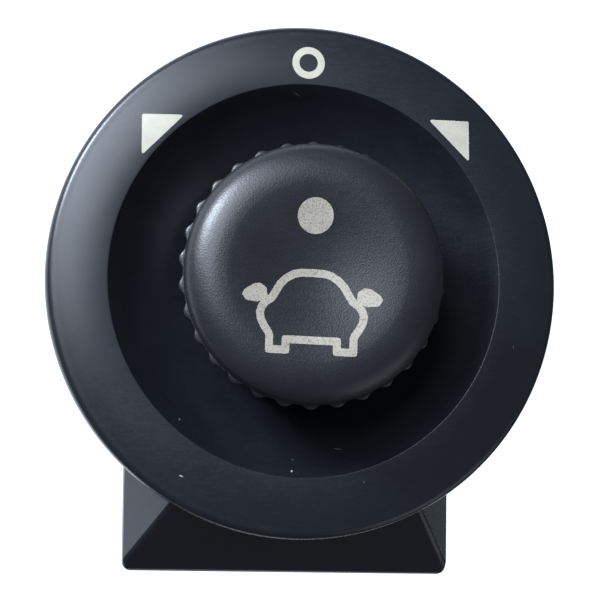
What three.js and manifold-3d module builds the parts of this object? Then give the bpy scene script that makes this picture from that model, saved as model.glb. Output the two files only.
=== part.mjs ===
// Door-mirror adjustment switch for a car: a rotary selector knob that also tilts four ways.
// Frame: millimetres, +Z out of the dashboard along the knob's axis, +Y towards the zero mark,
// +X to the right, origin on the knob's axis in the flat rear face of the rear cover.

import * as THREE from 'three';
import { mergeVertices } from 'three/addons/utils/BufferGeometryUtils.js';
import Module from 'manifold-3d';

const wasm = await Module();
wasm.setup();

// ---- Driving dimensions ----

const GAP = 0.3; // clearance between neighbouring pieces
const ROUND = 60; // facets around the large turned pieces
const SMALL_ROUND = 24; // facets around hubs, bores and collars
const TINY_ROUND = 12; // facets around pins

// Heights along the knob's axis
const COVER_TOP = 1.6; // rear cover plate, which starts at 0
const BOARD_BOTTOM = 12.9;
const BOARD_TOP = 14.5;
const DOME_TOP = 16.8;
const WHEEL_BOTTOM = 17.8; // detent wheel of the selector rotor
const DECK_BOTTOM = 20.2;
const DECK_TOP = 21.7;
const SHELF_BOTTOM = 22.0;
const SHELF_TOP = 23.0; // floor of the gimbal pocket
const PIVOT_Z = 25.3; // both tilt axes
const FLANGE_REAR = 21.9; // seat on the panel
const FLANGE_FRONT = 23.1;
const BOSS_TOP = 26.8; // round boss on the flange, which carries the gimbal's bearings
const PLATEAU_Z = 29.2; // top of the bevelled foot
const SKIRT_BOTTOM = 29.8; // lower edge of the knob
const RIM_TOP = 31.8; // crest of the bezel
const GRIP_TOP = 35.6;
const KNOB_TOP = 38.4;

// Bezel
const BEZEL_R = 20;
const CREST_R = 15.35; // radius of the bezel's highest circle
const FUNNEL_R = 9.7; // opening at the foot of the funnel that leads down to the knob
const FUNNEL_BOTTOM = 27.9;
const COLLAR = { innerR: 13.6, outerR: 14.6, top: 28.3 }; // collar that holds the bezel
const SNAP_ANGLES = [45, 135, 225, 315]; // the bezel's lugs in the collar's windows, in degrees

// Housing
const FLANGE_HALF_WIDTH = 13;
const FLANGE_LOW_Y = -22.5;
const FLANGE_HIGH_Y = 13.5;
const FOOT_TOP = { halfX: 9.3, lowY: -16.6 }; // where the foot's bevels end
const FOOT_BASE = { halfX: 13.73, lowY: -22.94 }; // their planes at the height of the flange's rear
const NECK_R = 16; // round part of the flange under the bezel
const BODY = { x: 9.8, lowY: -19, highY: 12 }; // rear body where it meets the flange
const DRAFT = 0.6; // how much the rear body narrows towards its rear on each side
const CAVITY = { x: 8.2, lowY: -17.5, highY: 10.5 };
const POCKET_R = 8.8; // gimbal pocket

// Tilting and turning mechanism
const RING_INNER_R = 6.8;
const RING_OUTER_R = 8.4;
const RING_HALF_HEIGHT = 1.4;
const PLATE_R = 6.3;
const PLATE_HALF_HEIGHT = 0.8;
const PLUNGER_R = 5.4; // distance of the plungers from the axis
const STEM_R = 1.6;
const JOURNAL_R = 3.3;
const WHEEL_R = 4.3;
const SPRING_ANGLES = [45, 225]; // where the two detent springs press, in degrees

// Knob
const KNOB_R = 10.35; // over the ribs
const CAP_R = 9.95;
const CAP_CREST_R = 6.95;
const DISH_DEPTH = 0.85;
const GRIP_TAPER = 0.15; // how much the grip narrows per millimetre of height towards its skirt
const RIB_COUNT = 30;
const RIB_END_Z = 31.5; // the ribs run out here

// Terminals: two rows of four blades
const BLADE_X = [-4.8, -1.6, 1.6, 4.8];
const BLADE_Y = [-14.4, -11.2];
const BLADE = { halfWidth: 0.75, halfThickness: 0.3, bottom: 4.5, top: 15 };
const SOCKET = { x: 6.9, lowY: -16.3, highY: -9.3, floor: 11.6, wall: 0.9 };

// ---- Shape helpers ----

const radians = THREE.MathUtils.degToRad;

// A closed geometry as a solid that can be joined and cut.
function solid(geometry) {
  const bare = geometry.clone();
  bare.deleteAttribute('normal');
  bare.deleteAttribute('uv');
  const merged = mergeVertices(bare);
  const corners = merged.index.array;
  const triangles = [];
  for (let i = 0; i < corners.length; i += 3) {
    const [a, b, c] = corners.slice(i, i + 3);
    if (a !== b && b !== c && c !== a) triangles.push(a, b, c);
  }
  return new wasm.Manifold(new wasm.Mesh({
    numProp: 3,
    vertProperties: new Float32Array(merged.attributes.position.array),
    triVerts: new Uint32Array(triangles),
  }));
}

// A profile of [radius, height] points turned about an upright axis. It starts and ends on
// the axis, or stays clear of it and is closed here.
function turned(profile, facets = SMALL_ROUND, x = 0, y = 0) {
  const outline = profile.map(([r, z]) => new THREE.Vector2(r, z));
  if (THREE.ShapeUtils.isClockWise(outline)) outline.reverse();
  if (outline[0].x > 0) outline.push(outline[0].clone());
  const geometry = new THREE.LatheGeometry(outline, facets).rotateX(Math.PI / 2);
  return solid(geometry.translate(x, y, 0));
}

function tube(innerR, outerR, bottom, top, facets = SMALL_ROUND) {
  return turned([[innerR, bottom], [outerR, bottom], [outerR, top], [innerR, top]], facets);
}

function disc(radius, bottom, top, facets = SMALL_ROUND, x = 0, y = 0) {
  return turned([[0, bottom], [radius, bottom], [radius, top], [0, top]], facets, x, y);
}

// A solid around the Z axis whose radius at each of its heights depends on the angle too.
function lofted(heights, radiusAt, facets) {
  const points = [];
  for (const z of heights) {
    for (let k = 0; k < facets; k += 1) {
      const angle = 2 * Math.PI * k / facets;
      const r = radiusAt(angle, z);
      points.push(r * Math.cos(angle), r * Math.sin(angle), z);
    }
  }
  const last = heights.length - 1;
  const lowCentre = heights.length * facets;
  const highCentre = lowCentre + 1;
  points.push(0, 0, heights[0], 0, 0, heights[last]);
  const triangles = [];
  for (let k = 0; k < facets; k += 1) {
    const next = (k + 1) % facets;
    triangles.push(lowCentre, next, k);
    triangles.push(highCentre, last * facets + k, last * facets + next);
    for (let level = 0; level < last; level += 1) {
      const low = level * facets;
      const high = low + facets;
      triangles.push(low + k, low + next, high + next);
      triangles.push(low + k, high + next, high + k);
    }
  }
  const geometry = new THREE.BufferGeometry();
  geometry.setAttribute('position', new THREE.Float32BufferAttribute(points, 3));
  geometry.setIndex(triangles);
  return solid(geometry);
}

// A pin along X or Y at the height of the tilt axes, from one distance off the Z axis to another.
function pivotPin(direction, radius, from, to) {
  const geometry = new THREE.CylinderGeometry(radius, radius, to - from, TINY_ROUND);
  geometry.translate(0, (from + to) / 2, 0);
  if (direction === 'x') geometry.rotateZ(-Math.PI / 2);
  return solid(geometry.translate(0, 0, PIVOT_Z));
}

function block([x0, y0, z0], [x1, y1, z1]) {
  const geometry = new THREE.BoxGeometry(x1 - x0, y1 - y0, z1 - z0);
  return solid(geometry.translate((x0 + x1) / 2, (y0 + y1) / 2, (z0 + z1) / 2));
}

// A block turned about Z by an angle in degrees: x runs outwards along that angle.
function turnedBlock([x0, y0, z0], [x1, y1, z1], angle) {
  const geometry = new THREE.BoxGeometry(x1 - x0, y1 - y0, z1 - z0);
  geometry.translate((x0 + x1) / 2, (y0 + y1) / 2, (z0 + z1) / 2);
  return solid(geometry.rotateZ(radians(angle)));
}

// Two distances from a centre plane as coordinates on one side of it, in rising order.
function span(side, near, far) {
  return side > 0 ? [near, far] : [-far, -near];
}

// A block whose lower and upper faces are different rectangles.
function taperedBlock(lower, upper, bottom, top) {
  const geometry = new THREE.BoxGeometry(2, 2, 2);
  const points = geometry.attributes.position;
  for (let i = 0; i < points.count; i += 1) {
    const face = points.getZ(i) > 0 ? upper : lower;
    const x = points.getX(i) > 0 ? face.highX : face.lowX;
    const y = points.getY(i) > 0 ? face.highY : face.lowY;
    points.setXYZ(i, x, y, points.getZ(i) > 0 ? top : bottom);
  }
  return solid(geometry);
}

function prism(shape, bottom, top) {
  const options = { depth: top - bottom, bevelEnabled: false, curveSegments: 3 };
  return solid(new THREE.ExtrudeGeometry(shape, options).translate(0, 0, bottom));
}

function roundedRectangle(lowX, lowY, highX, highY, r) {
  const shape = new THREE.Shape();
  shape.moveTo(lowX + r, lowY);
  shape.lineTo(highX - r, lowY);
  shape.absarc(highX - r, lowY + r, r, -Math.PI / 2, 0);
  shape.lineTo(highX, highY - r);
  shape.absarc(highX - r, highY - r, r, 0, Math.PI / 2);
  shape.lineTo(lowX + r, highY);
  shape.absarc(lowX + r, highY - r, r, Math.PI / 2, Math.PI);
  shape.lineTo(lowX, lowY + r);
  shape.absarc(lowX + r, lowY + r, r, Math.PI, Math.PI * 1.5);
  return shape;
}

// Points on an arc in the radius-height plane, angles in degrees.
function arc([r, z], [radiusR, radiusZ], fromAngle, toAngle, steps) {
  return Array.from({ length: steps + 1 }, (_, i) => {
    const angle = radians(fromAngle + (toAngle - fromAngle) * i / steps);
    return [r + radiusR * Math.cos(angle), z + radiusZ * Math.sin(angle)];
  });
}

// ---- Materials ----

function finish(color, roughness, metalness = 0) {
  return new THREE.MeshStandardMaterial({ color, roughness, metalness });
}

const blackPlastic = finish(0x17191d, 0.5);
const knobPlastic = finish(0x15171c, 0.42);
const naturalPlastic = finish(0xd9d6c8, 0.5);
const boardLaminate = finish(0x2f5a35, 0.6);
const silicone = finish(0xb9bbb6, 0.7);
const springSteel = finish(0x9a9ca0, 0.35, 1);
const contactMetal = finish(0xc9c3b0, 0.3, 1);

// ---- Fixed pieces ----

// Round bezel: a gently crowned rim, a funnel down to the knob and a skirt that plugs over the
// housing's collar, held there by four lugs.
function bezel() {
  const edgeR = 0.7;
  const crownDrop = 0.55;
  const crestR = 0.1;
  const funnelTilt = 44; // degrees from the level in its upper part
  const bend = [12.6, 29.1]; // radius and height where the funnel gets shallower
  const edgeBottom = 29.5;
  const underside = 30.1;
  const lipBottom = FUNNEL_BOTTOM - 0.7;
  const skirtInnerR = COLLAR.outerR + GAP;
  const rimUnderR = BEZEL_R - 1.1;
  const crown = [0, 1, 2, 3, 4].map((i) => {
    const r = BEZEL_R - edgeR + (CREST_R - BEZEL_R + edgeR) * i / 4;
    const along = (r - CREST_R) / (BEZEL_R - edgeR - CREST_R);
    return [r, RIM_TOP - crownDrop * along * along];
  });
  const shell = turned([
    [BEZEL_R, edgeBottom],
    ...arc([BEZEL_R - edgeR, RIM_TOP - crownDrop - edgeR], [edgeR, edgeR], 0, 70, 3),
    ...crown,
    ...arc([CREST_R, RIM_TOP - crestR], [crestR, crestR], 90, 90 + funnelTilt, 2).slice(1),
    bend,
    [FUNNEL_R, FUNNEL_BOTTOM],
    [FUNNEL_R, lipBottom],
    [FUNNEL_R + 2.3, lipBottom],
    [skirtInnerR, underside],
    [skirtInnerR, FLANGE_FRONT + GAP],
    [NECK_R, FLANGE_FRONT + GAP],
    [NECK_R, underside],
    [rimUnderR, underside],
    [rimUnderR, edgeBottom],
  ], ROUND);
  const lugInnerR = COLLAR.innerR + GAP;
  const lugOuterR = skirtInnerR + GAP;
  return SNAP_ANGLES.reduce((body, angle) => {
    const lug = turnedBlock(
      [lugInnerR, -1.5, lipBottom - 0.05],
      [lugOuterR, 1.5, lipBottom + 0.45],
      angle,
    );
    return body.add(lug);
  }, shell);
}

// Two tongues with a catch each, which hold the switch in a panel about 3 mm thick.
function panelCatches(body) {
  const halfWidth = 2.5;
  const slit = 0.6;
  const slitBottom = 10.5;
  const windowBottom = 19.3;
  const windowTop = 20;
  let result = body;
  for (const side of [-1, 1]) {
    const [x0, x1] = span(side, CAVITY.x - 0.5, BODY.x + 0.5);
    for (const y of [-halfWidth - slit, halfWidth]) {
      result = result.subtract(block([x0, y, slitBottom], [x1, y + slit, windowTop]));
    }
    const edge = halfWidth + slit;
    const window = block([x0, -edge, windowBottom], [x1, edge, windowTop]);
    result = result.subtract(window);
    const catchShape = new THREE.Shape([
      new THREE.Vector2(side * (BODY.x - 1), 13.8),
      new THREE.Vector2(side * (BODY.x + 1.1), 18.3),
      new THREE.Vector2(side * (BODY.x + 1.1), 18.9),
      new THREE.Vector2(side * (BODY.x - 1), 19.1),
    ]);
    const depth = 2 * halfWidth - 0.4;
    const wedge = new THREE.ExtrudeGeometry(catchShape, { depth, bevelEnabled: false });
    wedge.rotateX(Math.PI / 2);
    result = result.add(solid(wedge.translate(0, depth / 2, 0)));
  }
  return result;
}

// Housing: drafted rear body, flange with a bevelled foot below the bezel, a collar for the
// bezel, and the round pocket with open bearings for the gimbal ring.
function housing() {
  const footEnd = -8; // hidden below the bezel
  const plate = block(
    [-FLANGE_HALF_WIDTH, footEnd, FLANGE_REAR],
    [FLANGE_HALF_WIDTH, FLANGE_HIGH_Y, FLANGE_FRONT],
  );
  const bevels = taperedBlock(
    { lowX: -FOOT_BASE.halfX, highX: FOOT_BASE.halfX, lowY: FOOT_BASE.lowY, highY: footEnd },
    { lowX: -FOOT_TOP.halfX, highX: FOOT_TOP.halfX, lowY: FOOT_TOP.lowY, highY: footEnd },
    FLANGE_REAR,
    PLATEAU_Z,
  );
  const footBlock = block(
    [-FLANGE_HALF_WIDTH, FLANGE_LOW_Y, FLANGE_REAR],
    [FLANGE_HALF_WIDTH, footEnd, PLATEAU_Z],
  );
  const foot = bevels
    .intersect(footBlock)
    .subtract(disc(NECK_R + GAP, FLANGE_FRONT, PLATEAU_Z + 1, ROUND));
  const boss = disc(COLLAR.outerR, FLANGE_REAR, BOSS_TOP, ROUND);
  const collar = tube(COLLAR.innerR, COLLAR.outerR, BOSS_TOP - 0.1, COLLAR.top, ROUND);
  const pocketMouth = turned([
    [0, PIVOT_Z - 0.5],
    [POCKET_R, PIVOT_Z - 0.5],
    [POCKET_R + 2.5, BOSS_TOP + 0.1],
    [0, BOSS_TOP + 0.1],
  ], ROUND);
  const rearBody = taperedBlock(
    {
      lowX: DRAFT - BODY.x,
      highX: BODY.x - DRAFT,
      lowY: BODY.lowY + DRAFT,
      highY: BODY.highY - DRAFT,
    },
    { lowX: -BODY.x, highX: BODY.x, lowY: BODY.lowY, highY: BODY.highY },
    COVER_TOP + GAP,
    FLANGE_REAR + 0.1,
  );
  let result = plate
    .add(disc(NECK_R, FLANGE_REAR, FLANGE_FRONT, ROUND))
    .add(foot)
    .add(boss)
    .add(collar)
    .add(rearBody)
    .subtract(pocketMouth)
    .add(block([-2, POCKET_R - 0.5, SHELF_TOP], [2, POCKET_R + 2.3, BOSS_TOP]))
    .add(block([-2, -POCKET_R - 2.3, SHELF_TOP], [2, 0.5 - POCKET_R, BOSS_TOP]))
    .subtract(block([-CAVITY.x, CAVITY.lowY, 0], [CAVITY.x, CAVITY.highY, SHELF_BOTTOM]))
    .subtract(disc(7, SHELF_BOTTOM - 1, SHELF_TOP + 1, SMALL_ROUND))
    .subtract(disc(POCKET_R, SHELF_TOP, BOSS_TOP + 1, 36));
  for (const side of [-1, 1]) {
    const [inner, outer] = span(side, POCKET_R - 0.5, 10.4);
    result = result
      .subtract(pivotPin('y', 1, inner, outer))
      .subtract(block([-0.6, inner, PIVOT_Z], [0.6, outer, BOSS_TOP + 1]));
    const [x0, x1] = span(side, CAVITY.x - 0.5, BODY.x + 0.5);
    result = result.subtract(block([x0, 1.7, 3.9], [x1, 6.3, 6]));
  }
  for (const angle of SNAP_ANGLES) {
    const window = turnedBlock(
      [COLLAR.innerR - 0.6, -1.8, BOSS_TOP + 0.05],
      [COLLAR.outerR + 0.9, 1.8, FUNNEL_BOTTOM + 0.05],
      angle,
    );
    result = result.subtract(window);
  }
  return panelCatches(result);
}

// Rear cover: end plate with the connector shroud, two board posts and two snap hooks.
function rearCover() {
  const { x, lowY, highY, floor, wall } = SOCKET;
  const outline = roundedRectangle(
    DRAFT - BODY.x,
    BODY.lowY + DRAFT,
    BODY.x - DRAFT,
    BODY.highY - DRAFT,
    0.5,
  );
  const shroudTop = BOARD_BOTTOM - GAP;
  let result = prism(outline, 0, COVER_TOP)
    .add(block([-x - wall, lowY - wall, 1], [x + wall, highY + wall, shroudTop]))
    .subtract(block([-x, lowY, -1], [x, highY, floor]));
  for (const bladeX of BLADE_X) {
    for (const bladeY of BLADE_Y) {
      result = result.subtract(bladeSlot(bladeX, bladeY, floor - 1, shroudTop + 1));
    }
  }
  for (const side of [-1, 1]) {
    const [armLow, armHigh] = span(side, 6.9, 7.8);
    const hook = new THREE.Shape([
      new THREE.Vector2(side * 7.5, 4.2),
      new THREE.Vector2(side * 8.8, 4.2),
      new THREE.Vector2(side * 7.5, 6.2),
    ]);
    const wedge = new THREE.ExtrudeGeometry(hook, { depth: 4, bevelEnabled: false });
    wedge.rotateX(Math.PI / 2);
    result = result
      .add(disc(0.9, 1, shroudTop, TINY_ROUND, side * 6.8, 9))
      .add(block([armLow, 2, 1], [armHigh, 6, 6.4]))
      .add(solid(wedge.translate(0, 6, 0)));
  }
  return result;
}

function bladeSlot(x, y, bottom, top) {
  const halfX = BLADE.halfWidth + GAP;
  const halfY = BLADE.halfThickness + GAP;
  return block([x - halfX, y - halfY, bottom], [x + halfX, y + halfY, top]);
}

function terminal(x, y) {
  const { halfWidth, halfThickness, bottom, top } = BLADE;
  const tipHeight = 1;
  const rectangle = (halfX, halfY) => (
    { lowX: x - halfX, highX: x + halfX, lowY: y - halfY, highY: y + halfY }
  );
  const section = rectangle(halfWidth, halfThickness);
  const tip = taperedBlock(rectangle(0.4, 0.12), section, bottom, bottom + tipHeight);
  return tip.add(taperedBlock(section, section, bottom + tipHeight, top));
}

function circuitBoard() {
  const edge = GAP;
  let result = block(
    [edge - CAVITY.x, CAVITY.lowY + edge, BOARD_BOTTOM],
    [CAVITY.x - edge, CAVITY.highY - edge, BOARD_TOP],
  ).subtract(disc(1.2, BOARD_BOTTOM - 1, BOARD_TOP + 1, TINY_ROUND));
  for (const x of BLADE_X) {
    for (const y of BLADE_Y) {
      result = result.subtract(bladeSlot(x, y, BOARD_BOTTOM - 1, BOARD_TOP + 1));
    }
  }
  return result;
}

// The four directions that the knob tilts in, with the place of their plunger.
const DIRECTIONS = {
  right: [PLUNGER_R, 0],
  up: [0, PLUNGER_R],
  left: [-PLUNGER_R, 0],
  down: [0, -PLUNGER_R],
};

// Silicone mat with one switching dome under each plunger.
function domeMat() {
  const bottom = BOARD_TOP + GAP;
  const sheetTop = bottom + 0.5;
  let result = block([-7.6, -7.4, bottom], [7.6, 7.4, sheetTop])
    .subtract(disc(3.5, bottom - 1, sheetTop + 1));
  for (const [x, y] of Object.values(DIRECTIONS)) {
    const dome = new THREE.CylinderGeometry(0.9, 1.5, DOME_TOP - bottom, 16);
    dome.rotateX(Math.PI / 2);
    result = result.add(solid(dome.translate(x, y, (bottom + DOME_TOP) / 2)));
  }
  return result;
}

// Guide deck: carries the rotor and the plungers, with legs down to the board and posts
// that back up the detent springs.
function guideDeck() {
  let result = block([-7.9, -10.2, DECK_BOTTOM], [7.9, 10.2, DECK_TOP])
    .subtract(disc(JOURNAL_R + GAP, DECK_BOTTOM - 1, DECK_TOP + 1));
  for (const [x, y] of Object.values(DIRECTIONS)) {
    result = result.subtract(disc(1.1, DECK_BOTTOM - 1, DECK_TOP + 1, TINY_ROUND, x, y));
  }
  for (const x of [-6.8, 6.8]) {
    for (const y of [-9.2, 9.2]) {
      result = result.add(disc(0.8, BOARD_TOP + GAP, DECK_BOTTOM + 0.5, TINY_ROUND, x, y));
    }
  }
  for (const angle of SPRING_ANGLES) {
    for (const side of [-1, 1]) {
      const [low, high] = span(side, 3.4, 4.6);
      const post = turnedBlock([5.7, low, WHEEL_BOTTOM], [6.3, high, DECK_BOTTOM + 0.5], angle);
      result = result.add(post);
    }
  }
  return result;
}

// Leaf spring whose nose drops into a notch of the rotor's detent wheel.
function detentSpring(angle) {
  const inner = 5.1;
  const outer = 5.4;
  const halfLength = 4.7;
  const noseR = 4.1;
  const strip = new THREE.Shape([
    [inner, -halfLength], [outer, -halfLength], [outer, -1.4], [noseR + 0.45, 0],
    [outer, 1.4], [outer, halfLength], [inner, halfLength], [inner, 1.2],
    [noseR + 0.1, 0.25], [noseR, 0], [noseR + 0.1, -0.25], [inner, -1.2],
  ].map(([x, y]) => new THREE.Vector2(x, y)));
  const geometry = new THREE.ExtrudeGeometry(strip, { depth: 1.5, bevelEnabled: false });
  return solid(geometry.translate(0, 0, WHEEL_BOTTOM + 0.3).rotateZ(radians(angle)));
}

class Helix extends THREE.Curve {
  constructor(radius, bottom, top, turns) {
    super();
    Object.assign(this, { radius, bottom, top, turns });
  }

  getPoint(t) {
    const angle = t * this.turns * 2 * Math.PI;
    const height = this.bottom + t * (this.top - this.bottom);
    return new THREE.Vector3(this.radius * Math.cos(angle), this.radius * Math.sin(angle), height);
  }
}

// Coil spring between the guide deck and the swash plate.
function centringSpring() {
  const wireR = 0.22;
  const turns = 3;
  const section = new THREE.Shape().absarc(0, 0, wireR, 0, 2 * Math.PI);
  const path = new Helix(3.85, DECK_TOP + 0.5, PIVOT_Z - PLATE_HALF_HEIGHT - 0.5, turns);
  const options = { steps: turns * 16, extrudePath: path, curveSegments: 3 };
  return solid(new THREE.ExtrudeGeometry(section, options));
}

// ---- Moving pieces ----

// Gimbal ring: hangs in the housing on a pair of pins along Y and carries the plate along X.
function gimbalRing() {
  let result = tube(
    RING_INNER_R,
    RING_OUTER_R,
    PIVOT_Z - RING_HALF_HEIGHT,
    PIVOT_Z + RING_HALF_HEIGHT,
    36,
  );
  for (const side of [-1, 1]) {
    result = result
      .add(pivotPin('y', 0.7, ...span(side, 7.6, 10.1)))
      .subtract(pivotPin('x', 0.8, ...span(side, 6, 9)));
  }
  return result;
}

// Swash plate: tilts in the ring and presses a plunger with each of its four feet.
function swashPlate() {
  const bottom = PIVOT_Z - PLATE_HALF_HEIGHT;
  const footBottom = 23.2;
  let result = disc(PLATE_R, bottom, PIVOT_Z + PLATE_HALF_HEIGHT, 36);
  for (const side of [-1, 1]) {
    result = result.add(pivotPin('x', 0.5, ...span(side, 5.5, 8.1)));
  }
  const foot = [
    [0, footBottom],
    [0.4, footBottom + 0.08],
    [0.7, footBottom + 0.35],
    [0.7, bottom + 0.4],
    [0, bottom + 0.4],
  ];
  for (const [x, y] of Object.values(DIRECTIONS)) {
    result = result.add(turned(foot, TINY_ROUND, x, y));
  }
  return result.subtract(disc(STEM_R + GAP, bottom - 2, PIVOT_Z + 2));
}

// Stem: runs through the swash plate and ends in a flat dog that turns the rotor.
function stem() {
  const dogTop = 23.8;
  return disc(STEM_R, dogTop, 33, SMALL_ROUND)
    .add(disc(2.5, dogTop, dogTop + 0.4))
    .add(block([-0.8, -2, 22], [0.8, 2, dogTop + 0.2]));
}

// Radius of the grip between its ribs.
function gripRadius(z) {
  return CAP_R - GRIP_TAPER * (GRIP_TOP - z);
}

// Ribbed grip with a hub on the stem; its top is recessed for the cap.
function knobGrip() {
  const pitch = 2 * Math.PI / RIB_COUNT;
  const facetsPerRib = 6;
  const ribHalfAngle = pitch / 3;
  const radiusAt = (angle, z) => {
    const offset = Math.abs(angle % pitch - pitch / 2);
    const roundness = Math.cos(Math.PI / 2 * Math.min(1, offset / ribHalfAngle));
    const growth = Math.max(0, (z - RIB_END_Z) / (GRIP_TOP - RIB_END_Z));
    return gripRadius(z) + (KNOB_R - CAP_R) * roundness * growth;
  };
  const webBottom = 33.7;
  const webTop = 34.9;
  const wall = 1;
  const cavity = turned([
    [0, SKIRT_BOTTOM - 1],
    [gripRadius(SKIRT_BOTTOM - 1) - wall, SKIRT_BOTTOM - 1],
    [gripRadius(webBottom) - wall, webBottom],
    [0, webBottom],
  ], ROUND);
  return lofted([SKIRT_BOTTOM, RIB_END_Z, GRIP_TOP], radiusAt, RIB_COUNT * facetsPerRib)
    .subtract(cavity)
    .subtract(disc(CAP_R - 1.05, webTop, GRIP_TOP + 1, ROUND))
    .add(disc(2.9, PIVOT_Z + PLATE_HALF_HEIGHT + GAP, webBottom + 0.2))
    .subtract(disc(STEM_R + GAP, PIVOT_Z, webBottom));
}

// Cap with a rolled shoulder and a shallow dish for the fingertip.
function knobCap() {
  const bottom = GRIP_TOP + GAP;
  const shoulderZ = 36.3;
  const dish = [6.5, 5.8, 5, 4, 3, 1.8, 0.8, 0].map((r) => (
    [r, KNOB_TOP - DISH_DEPTH * (1 - (r / CAP_CREST_R) ** 1.7) ** 1.5]
  ));
  const shoulder = arc(
    [CAP_CREST_R, shoulderZ],
    [CAP_R - CAP_CREST_R, KNOB_TOP - shoulderZ],
    0,
    90,
    6,
  );
  return turned([
    [0, bottom],
    [7.9, bottom],
    [7.9, bottom - 0.7],
    [8.6, bottom - 0.7],
    [8.6, bottom],
    [CAP_R, bottom],
    ...shoulder,
    ...dish,
  ], ROUND);
}

// Selector rotor: slotted journal on top, detent wheel below the deck, pilot pin in the board.
function selectorRotor() {
  let result = turned([
    [0, BOARD_BOTTOM + 0.2],
    [0.9, BOARD_BOTTOM + 0.2],
    [0.9, WHEEL_BOTTOM],
    [WHEEL_R, WHEEL_BOTTOM],
    [WHEEL_R, DECK_BOTTOM - GAP],
    [JOURNAL_R, DECK_BOTTOM - GAP],
    [JOURNAL_R, 23.3],
    [0, 23.3],
  ], 36).subtract(block([-1.25, -2.45, 21.5], [1.25, 2.45, 24]));
  const notchDepth = 0.5;
  const notchR = 0.75;
  for (const spring of SPRING_ANGLES) {
    for (const position of [-45, 0, 45]) {
      const angle = radians(spring + position);
      const centre = WHEEL_R - notchDepth + notchR;
      const [x, y] = [centre * Math.cos(angle), centre * Math.sin(angle)];
      const notch = disc(notchR, WHEEL_BOTTOM - 1, DECK_BOTTOM - GAP + 0.1, TINY_ROUND, x, y);
      result = result.subtract(notch);
    }
  }
  return result;
}

// Sprung bridge under the rotor with two fingers down to the board's tracks.
function wiperContact() {
  const top = WHEEL_BOTTOM - GAP;
  let result = tube(1.25, 3, top - 0.3, top);
  for (const angle of [90, 210]) {
    const finger = turnedBlock([2.3, -0.4, BOARD_TOP + GAP], [2.6, 0.4, top - 0.1], angle);
    result = result.add(finger);
  }
  return result;
}

function plunger([x, y]) {
  const shoulderZ = 22.5;
  return turned([
    [0, DOME_TOP + GAP],
    [0.8, DOME_TOP + GAP],
    [0.8, shoulderZ],
    [1.05, shoulderZ],
    [1.05, shoulderZ + 0.2],
    [0.6, shoulderZ + 0.4],
    [0, shoulderZ + 0.4],
  ], TINY_ROUND, x, y);
}

// ---- Assembly ----

const group = new THREE.Group();

function place(name, body, material) {
  const { vertProperties, triVerts } = body.getMesh();
  const geometry = new THREE.BufferGeometry();
  geometry.setAttribute('position', new THREE.BufferAttribute(vertProperties, 3));
  geometry.setIndex(new THREE.BufferAttribute(triVerts, 1));
  geometry.computeVertexNormals();
  const mesh = new THREE.Mesh(geometry, material);
  mesh.name = name;
  group.add(mesh);
}

place('bezel', bezel(), blackPlastic);
place('housing', housing(), blackPlastic);
place('rear_cover', rearCover(), blackPlastic);
place('circuit_board', circuitBoard(), boardLaminate);
place('dome_mat', domeMat(), silicone);
place('guide_deck', guideDeck(), naturalPlastic);
place('centring_spring', centringSpring(), springSteel);
SPRING_ANGLES.forEach((angle, i) => {
  place(`detent_spring_${i + 1}`, detentSpring(angle), springSteel);
});
place('gimbal_ring', gimbalRing(), naturalPlastic);
place('swash_plate', swashPlate(), naturalPlastic);
place('stem', stem(), naturalPlastic);
place('knob_grip', knobGrip(), knobPlastic);
place('knob_cap', knobCap(), knobPlastic);
place('selector_rotor', selectorRotor(), naturalPlastic);
place('wiper_contact', wiperContact(), contactMetal);
for (const [direction, position] of Object.entries(DIRECTIONS)) {
  place(`plunger_${direction}`, plunger(position), naturalPlastic);
}
BLADE_Y.forEach((y, row) => {
  BLADE_X.forEach((x, column) => {
    place(`terminal_${row * BLADE_X.length + column + 1}`, terminal(x, y), contactMetal);
  });
});

export default group;
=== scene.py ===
"""Looks of a car's door-mirror adjustment switch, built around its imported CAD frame.

Shapes are written in millimetres and become metres when their mesh is made. The frame is the
CAD model's: +Z out of the dashboard along the knob's axis, +Y towards the zero mark.
"""

import math

import bmesh
import bpy
import numpy as np
from mathutils import Matrix, Vector


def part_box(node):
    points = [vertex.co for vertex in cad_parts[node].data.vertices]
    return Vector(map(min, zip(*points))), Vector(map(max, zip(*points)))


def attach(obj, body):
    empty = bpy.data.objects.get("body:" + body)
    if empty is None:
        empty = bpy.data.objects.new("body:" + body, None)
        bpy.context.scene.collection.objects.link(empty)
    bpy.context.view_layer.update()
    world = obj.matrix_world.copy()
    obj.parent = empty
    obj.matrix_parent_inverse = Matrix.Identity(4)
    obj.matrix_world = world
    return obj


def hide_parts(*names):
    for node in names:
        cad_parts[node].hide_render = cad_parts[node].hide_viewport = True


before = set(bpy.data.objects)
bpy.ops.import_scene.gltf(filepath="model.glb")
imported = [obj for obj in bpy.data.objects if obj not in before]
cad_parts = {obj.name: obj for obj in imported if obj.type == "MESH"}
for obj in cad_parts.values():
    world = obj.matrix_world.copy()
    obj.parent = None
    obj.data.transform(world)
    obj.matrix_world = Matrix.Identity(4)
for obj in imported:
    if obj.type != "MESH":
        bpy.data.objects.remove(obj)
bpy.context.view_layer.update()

MM = 0.001
ROUND = 256  # facets around the large turned pieces


def extent(node):
    """Lowest and highest corner of a CAD node in millimetres."""
    low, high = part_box(node)
    return low / MM, high / MM


# ---- Dimensions taken from the frame, in millimetres ----

BEZEL_R = extent("bezel")[1].x
RIM_TOP = extent("bezel")[1].z
BEZEL_BOTTOM = extent("bezel")[0].z
FLANGE_LOW_Y = extent("housing")[0].y
KNOB_R = extent("knob_grip")[1].y
GRIP_TOP = extent("knob_grip")[1].z
CAP_R = extent("knob_cap")[1].x
KNOB_TOP = extent("knob_cap")[1].z

# ---- Dimensions of the moulded forms, in millimetres ----

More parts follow.
